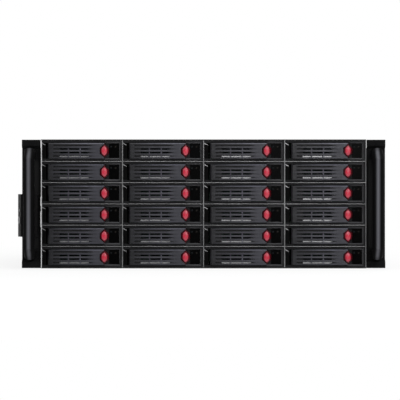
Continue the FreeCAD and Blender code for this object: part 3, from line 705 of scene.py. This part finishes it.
def hexagon_ring(bm, depth):
    """Corners of the cap's base, a pointed hexagon that fills the lever's eye."""
    corners = []
    for turn in CAP_TURNS:
        across = min(1.0, (1 - abs(math.cos(turn))) / (1 - CAP_SHOULDER))
        x = math.copysign(CAP_HALF_WIDTH * across, math.sin(turn))
        corners.append(bm.verts.new((x, depth, CAP_HALF_HEIGHT * math.cos(turn))))
    return corners


def oval_ring(bm, share, depth):
    """Corners of the cap's crown, an oval, at a share of its size."""
    width = share * CROWN_HALF_WIDTH
    height = share * CROWN_HALF_HEIGHT
    return [bm.verts.new((width * math.sin(turn), depth, height * math.cos(turn))) for turn in CAP_TURNS]


def button_cap(red):
    """A cap over the release button: slopes up to a nearly flat crown, just before its own origin."""
    bm = bmesh.new()
    rings = [hexagon_ring(bm, BUTTON_PROUD + POCKET_DEPTH), hexagon_ring(bm, CAP_SLOPE_BACK)]
    rings += [oval_ring(bm, share, CROWN_FRONT - rise) for share, rise in CROWN_RINGS]
    skin(bm, rings)
    for face in bm.faces:
        face.smooth = True
    bmesh.ops.recalc_face_normals(bm, faces=bm.faces)
    return mesh_object("button_cap_r1c1", bm, red)


def light_panel(width, height, panel, *lenses):
    """The dark panel on the pocket's floor with two lights near its top, centred at its own origin."""
    bm = bmesh.new()
    block(bm, Matrix.Diagonal((width, PANEL_THICKNESS, height, 1)))
    soften_mesh(bm, PANEL_BEVEL)
    for index, from_left in enumerate(LENSES_FROM_LEFT):
        spot = Matrix.Translation((from_left - width / 2, -PANEL_THICKNESS / 2, LENS_RISE))
        lathe(bm, LENS_PROFILE, MM, LENS_SIDES, spot, index + 1)
    bmesh.ops.recalc_face_normals(bm, faces=bm.faces)
    return mesh_object("light_panel_r1c1", bm, panel, *lenses)


def spring_clip(steel):
    """A steel tongue that slopes down over the hinge post, with its root's left edge over its own origin."""
    bm = bmesh.new()
    outline = [(0, CLIP_ROOT[0]), (CLIP_REACH, CLIP_TIP[0]), (CLIP_REACH, CLIP_TIP[1]), (0, CLIP_ROOT[1])]
    drawn(bm, outline, lambda corner, y: (corner[0], y, corner[1]), (-CLIP_PROUD, CLIP_STEEL))
    soften_mesh(bm, CLIP_BEVEL)
    return mesh_object("spring_clip_r1c1", bm, steel)


def tray_lip(width, steel):
    """The steel angle behind the lever's lowest slot, with its lower front left corner at its own origin."""
    bm = bmesh.new()
    outline = [
        (0, 0),
        (LIP_DEPTH, 0),
        (LIP_DEPTH, LIP_STEEL),
        (2 * LIP_STEEL, LIP_STEEL),
        (LIP_STEEL, 2 * LIP_STEEL),
        (LIP_STEEL, LIP_HEIGHT),
        (0, LIP_HEIGHT),
    ]
    drawn(bm, outline, lambda corner, x: (x, corner[0], corner[1]), (0, width))
    soften_mesh(bm, LIP_BEVEL)
    return mesh_object("tray_lip_r1c1", bm, steel)


def ride_copies(sources, label, places):
    """Puts one copy of each source on a tray. The sources themselves serve the first tray."""
    for source, place in zip(sources, places):
        stem = source.name.rsplit("_", 1)[0]
        piece = source if label == BAYS[0] else copy_of(source, stem + "_" + label)
        piece.location = place
        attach(piece, "tray_" + label)


def dress_trays(steel):
    """Materials of all trays and levers, and the small pieces on each tray's front."""
    red = red_plastic()
    lip = bright_metal("lip_steel", metal_grey(0.13), metal_grey(0.19), (0.26, 0.36))
    lenses = (
        milky_plastic("lens_blue", (0.012, 0.014, 0.016, 1), 0.05),
        milky_plastic("lens_amber", (0.016, 0.014, 0.012, 1), 0.05),
    )
    # The pocket's sloped walls are painted paler: painted highlight
    tray_materials = (tray_moulding(), steel, red, moulding("pocket_rim", 0.075))
    # The grooves' floors are painted darker as painted shade; the top edge and the bars across grooves are
    # painted paler as painted highlights
    lever_materials = (
        lever_moulding("lever_moulding", 0.030),
        moulding("groove_floor", 0.010),
        lever_moulding("lever_edge", 0.09),
        lever_moulding("lever_bar", 0.17),
    )
    inset = POCKET_RIM + POCKET_TAPER + PANEL_GAP
    first = TrayFront(BAYS[0])
    panel_width = first.right - inset - first.button.x - CAP_HALF_WIDTH - PANEL_GAP
    panel_height = first.top - first.bottom - 2 * inset
    lip_width = first.button.x - LIP_FROM_BUTTON - first.hinge - LIP_FROM_HINGE
    sources = [
        button_cap(red),
        light_panel(panel_width, panel_height, smoked_panel(), *lenses),
        spring_clip(lip),
        tray_lip(lip_width, lip),
    ]
    for label in BAYS:
        front = TrayFront(label)
        dress("tray_" + label, *tray_materials)
        paint("tray_" + label, front.material)
        dress("lever_" + label, *lever_materials)
        paint("lever_" + label, front.lever_material)
        panel_x = front.right - inset - panel_width / 2
        places = [
            front.button,
            Vector((panel_x, front.floor - PANEL_THICKNESS / 2, front.middle)),
            Vector((front.left, front.face, front.top - CLIP_DROP)),
            Vector((front.hinge + LIP_FROM_HINGE, front.lever_back + LIP_BEHIND, front.bottom + SILL)),
        ]
        ride_copies(sources, label, places)


# Chassis


def screw(bm, place, outward, radius):
    """A pan head with a round rim and a cross recess, lying on a surface. The recess is a dark block of
    material 1, painted shade in place of a hollow.
    """
    spot = Matrix.Translation(place) @ outward.to_track_quat("-Y", "Z").to_matrix().to_4x4()
    lathe(bm, SCREW_HEAD, radius, SCREW_SIDES, spot)
    centre = Matrix.Translation((0, SCREW_RECESS_DEPTH * radius, 0))
    size = Matrix.Diagonal((*(radius * share for share in SCREW_RECESS), 1))
    for angle in (0, math.pi / 2):
        block(bm, spot @ centre @ Matrix.Rotation(angle, 4, "Y") @ size, 1)


def side_screws(steel, dark):
    """Screws through both side walls into the cage, and three through each ear's leg into the wall."""
    low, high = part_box("chassis_shell")
    cage_low, cage_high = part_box("drive_cage")
    ear_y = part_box("rack_ears")[1].y * EAR_SCREW_SHARE
    depths = [cage_low.y + share * (cage_high.y - cage_low.y) for share in CAGE_SCREW_SHARES]
    bm = bmesh.new()
    for side, wall in ((-1, low.x), (1, high.x)):
        outward = Vector((side, 0, 0))
        for z in SCREW_HEIGHTS:
            for y in depths:
                screw(bm, Vector((wall, y, z)), outward, CAGE_SCREW_RADIUS)
            screw(bm, Vector((wall + side * EAR_THICKNESS, ear_y, z)), outward, EAR_SCREW_RADIUS)
    return mesh_object("side_screws", bm, steel, dark)


def board_standoffs(brass):
    """Hexagonal standoffs on the floor, three by three, for a mainboard."""
    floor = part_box("chassis_shell")[0].z + SHEET
    up = Matrix.Rotation(math.radians(-90), 4, "X")
    bm = bmesh.new()
    for x in STANDOFFS_X:
        for y in STANDOFFS_Y:
            lathe(bm, STANDOFF_PROFILE, MM, STANDOFF_SIDES, Matrix.Translation((x, y, floor)) @ up)
    for face in bm.faces:
        face.smooth = False
    return mesh_object("board_standoffs", bm, brass)


def backplane_parts(dark, tan, steel):
    """Chips, capacitors and cable headers on the boards' rear, and bars that stiffen the boards' edges."""
    low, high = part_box("backplanes")
    row_pitch = (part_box("tray_r1c1")[0].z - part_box("tray_r6c1")[0].z) / (ROWS - 1)
    column_pitch = (high.x - low.x) / COLUMNS
    blocks = []
    for row in range(ROWS):
        middle = low.z + (row + BLOCK_ROW_SHARE) * row_pitch
        for column in range(COLUMNS):
            x = low.x + (column + 0.5) * column_pitch
            blocks += [(x + across, middle + up, size, index) for across, up, size, index in BOARD_BLOCKS]
        if row > 0:
            seam = low.z + row * row_pitch - STIFFENER_DROP
            blocks.append(((low.x + high.x) / 2, seam, STIFFENER, 2))
    bm = bmesh.new()
    for x, z, millimetres, index in blocks:
        size = Vector(millimetres) * MM
        place = Vector((x, high.y + size.y / 2 - BLOCK_SINK, z))
        block(bm, Matrix.Translation(place) @ Matrix.Diagonal((*size, 1)), index)
    made = mesh_object("backplane_parts", bm, dark, tan, steel)
    soften = made.modifiers.new("soften", "BEVEL")
    soften.width = BLOCK_BEVEL
    soften.segments = 2
    return made


def ear_shims(bright):
    """Bright strips beside the body, which show in the two notches of the left ear."""
    bm = bmesh.new()
    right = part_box("chassis_shell")[0].x - SHIM_GAP
    left = right - SHIM_WIDTH
    for low, high in SHIM_SPANS:
        outline = [(left, low), (right, low), (right, high), (left, high)]
        drawn(bm, outline, lambda corner, y: (corner[0], y, corner[1]), SHIM_DEPTH)
    soften_mesh(bm, SHIM_BEVEL)
    return mesh_object("ear_shims", bm, bright)


def power_details(steel, cap, lens):
    """The bright ring on the power button, and the light above it on the module's slanted face."""
    press = next(joint for joint in frame["joints"] if joint["name"] == "power_press")
    inward = Vector(press["axis"])
    low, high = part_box("power_button")
    front = (low + high) / 2 - inward * POWER_LENGTH / 2
    turn = (-inward).to_track_quat("-Y", "Z").to_matrix().to_4x4()
    bm = bmesh.new()
    lathe(bm, RING_RIM + RING_INSIDE, MM, RING_SIDES, Matrix.Translation(front) @ turn)
    bmesh.ops.recalc_face_normals(bm, faces=bm.faces)
    for face in bm.faces:
        if (face.calc_center_median() - front).length < RING_BORE:
            face.material_index = 1
    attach(mesh_object("power_ring", bm, steel, cap), "power")
    bm = bmesh.new()
    light = front + inward * POWER_PROUD + Vector((0, 0, LIGHT_RISE))
    lathe(bm, LIGHT_PROFILE, MM, LIGHT_SIDES, Matrix.Translation(light) @ turn)
    bmesh.ops.recalc_face_normals(bm, faces=bm.faces)
    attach(mesh_object("power_light", bm, lens), "chassis")


def shell_material(point, normal):
    """0 for the coat, 1 for the bare slot covers, 2 and 3 for the front edges of the left and right wall,
    the same bare steel painted lit on the left and shaded on the right.
    """
    low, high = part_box("chassis_shell")
    if point.y < low.y + NEAR:
        on_wall = abs(point.x) > high.x - SHEET
        return (2 if point.x < 0 else 3) if on_wall else 0
    panel_front = high.y - SHEET
    on_covers = panel_front - SLOT_COVER_TAB - NEAR < point.y < panel_front + NEAR
    on_panel = normal.y < -FACING and point.y > panel_front - NEAR
    return 1 if on_covers and not on_panel else 0


def dress_chassis(steel):
    """Materials of the chassis, ears, boards and fans, and the small pieces on them."""
    coat = powder_coat("shell_coat", 0.012)
    dark = moulding("component_black", 0.010)
    fan = moulding("fan_moulding", 0.010)
    cap = moulding("power_cap", 0.012, 0.2, (0.2, 0.3))
    tan = milky_plastic("capacitor_tan", (0.32, 0.22, 0.12, 1))
    lens = milky_plastic("lens_white", (0.20, 0.21, 0.22, 1))
    brass = bright_metal("brass_standoff", (0.50, 0.34, 0.12, 1), (0.66, 0.47, 0.19, 1))
    ring = bright_metal("ring_steel", metal_grey(0.10), metal_grey(0.16))
    screws = bright_metal("bright_steel", metal_grey(0.34), metal_grey(0.50))
    shims = bright_metal("shim_zinc", metal_grey(0.66), metal_grey(0.78))
    # The walls' bare front edges are one steel, painted lit on the left and shaded on the right
    lit_left_edge = galvanised("bright_edge", 0.44)
    shaded_right_edge = galvanised("dull_edge", 0.07)
    dress("chassis_shell", coat, steel, lit_left_edge, shaded_right_edge)
    paint("chassis_shell", shell_material)
    dress("top_cover", coat, bevel=SHEET_BEVEL)
    # The shelves' front edges are the cage's steel painted brighter: painted light
    dress("drive_cage", steel, galvanised("shelf_edge", 0.30), bevel=CAGE_BEVEL)
    behind_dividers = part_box("drive_cage")[0].y + NEAR
    paint("drive_cage", lambda point, normal: int(normal.y < -FACING and point.y > behind_dividers))
    # The ears' coat is darker than the shell's: painted shade of the hollow behind the grips
    dress("rack_ears", powder_coat("ear_coat", 0.004, 0.09), bevel=SHEET_BEVEL)
    dress("ear_handles", handle_moulding(), bevel=PLASTIC_BEVEL, smooth=True)
    dress("control_module", moulding("module_moulding", 0.004, 0.05), bevel=PLASTIC_BEVEL, smooth=True)
    dress("power_button", cap, bevel=POWER_BEVEL, smooth=True)
    dress("backplanes", circuit_board(), dark, bevel=SOCKET_BEVEL)
    before_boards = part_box("backplanes")[1].y - BOARD_THICKNESS - NEAR
    paint("backplanes", lambda point, normal: int(point.y < before_boards))
    dress("fan_housings", fan, bevel=HOUSING_BEVEL)
    for number in range(FANS):
        dress("fan_rotor_%d" % (number + 1), fan, bevel=ROTOR_BEVEL)
    for piece in (
        side_screws(screws, dark),
        board_standoffs(brass),
        backplane_parts(dark, tan, steel),
        ear_shims(shims),
    ):
        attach(piece, "chassis")
    power_details(ring, cap, lens)


# Stage


def seen_rays(tree):
    """1 for rays that the camera sees, straight or by way of gloss or glass, and 0 for other light."""
    path = tree.nodes.new("ShaderNodeLightPath")
    seen = path.outputs["Is Camera Ray"]
    for ray in ("Is Glossy Ray", "Is Transmission Ray"):
        either = tree.nodes.new("ShaderNodeMath")
        either.operation = "MAXIMUM"
        tree.links.new(seen, either.inputs[0])
        tree.links.new(path.outputs[ray], either.inputs[1])
        seen = either.outputs[0]
    return seen


def show_blend(tree, output, *sources):
    """Shows a blend of two shaders, by a share that comes first, at a node tree's output."""
    blend = tree.nodes.new("ShaderNodeMixShader")
    for socket, source in zip(blend.inputs, sources):
        tree.links.new(source, socket)
    tree.links.new(blend.outputs[0], tree.nodes[output].inputs["Surface"])


def stage_floor():
    """A pale floor that takes the object's shadow, and turns plain white further out."""
    shader = Shader("floor", roughness=0.9, specular=0.1)
    shader.feed("Base Color", shader.ramp(shader.noise(3.0), 0.90, 0.93))
    near, far = FLOOR_WHITE
    white = shader.ramp(shader.distance(1 / far), 0.8, 1.0, near / far)
    share = shader.maths("MULTIPLY", seen_rays(shader.tree), white)
    glow = shader.node("ShaderNodeEmission")
    show_blend(shader.tree, "Material Output", share, shader.surface.outputs[0], glow.outputs[0])
    bm = bmesh.new()
    bmesh.ops.create_grid(bm, x_segments=2, y_segments=2, size=FLOOR_HALF_SIDE)
    floor = mesh_object("floor", bm, shader.material)
    floor.location.z = CAD_LOW.z - FLOOR_DROP


def white_world():
    """White where the camera and reflections look past the object, dimmer as a light source."""
    world = bpy.data.worlds.new("studio")
    bpy.context.scene.world = world
    world.use_nodes = True
    tree = world.node_tree
    light = tree.nodes["Background"]
    light.inputs["Color"].default_value = (0.96, 0.98, 1.0, 1)
    light.inputs["Strength"].default_value = AMBIENT
    white = tree.nodes.new("ShaderNodeBackground")
    white.inputs["Color"].default_value = (1, 1, 1, 1)
    show_blend(tree, "World Output", seen_rays(tree), light.outputs[0], white.outputs[0])


def softbox(name, place, size, power):
    """A square or oblong soft light aimed at the object."""
    data = bpy.data.lights.new(name, "AREA")
    data.shape = "RECTANGLE"
    data.size, data.size_y = size
    data.energy = power
    made = bpy.data.objects.new(name, data)
    bpy.context.scene.collection.objects.link(made)
    made.location = place
    made.rotation_euler = (Vector(LIGHT_TARGET) - Vector(place)).to_track_quat("-Z", "Y").to_euler()


def camera():
    """The photo's view: its scale at the case's front, and the object where it is in the picture."""
    data = bpy.data.cameras.new("camera")
    data.sensor_width = SENSOR
    data.lens = SENSOR * CAMERA_DISTANCE / (IMAGE_SIDE * PIXEL_SIZE)
    made = bpy.data.objects.new("camera", data)
    bpy.context.scene.collection.objects.link(made)
    middle = IMAGE_SIDE / 2
    x = (middle - OBJECT_CENTRE_PIXEL[0]) * PIXEL_SIZE
    z = (OBJECT_CENTRE_PIXEL[1] - middle) * PIXEL_SIZE
    made.location = (x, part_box("chassis_shell")[0].y - CAMERA_DISTANCE, z)
    made.rotation_euler = (math.radians(90), 0, 0)
    bpy.context.scene.camera = made


def build_stage():
    bpy.context.scene.view_settings.view_transform = "Standard"
    stage_floor()
    white_world()
    for light in LIGHTS:
        softbox(*light)
    camera()


def main():
    steel = galvanised("galvanised_steel", 0.15)
    dress_trays(steel)
    dress_chassis(steel)
    build_stage()


main()
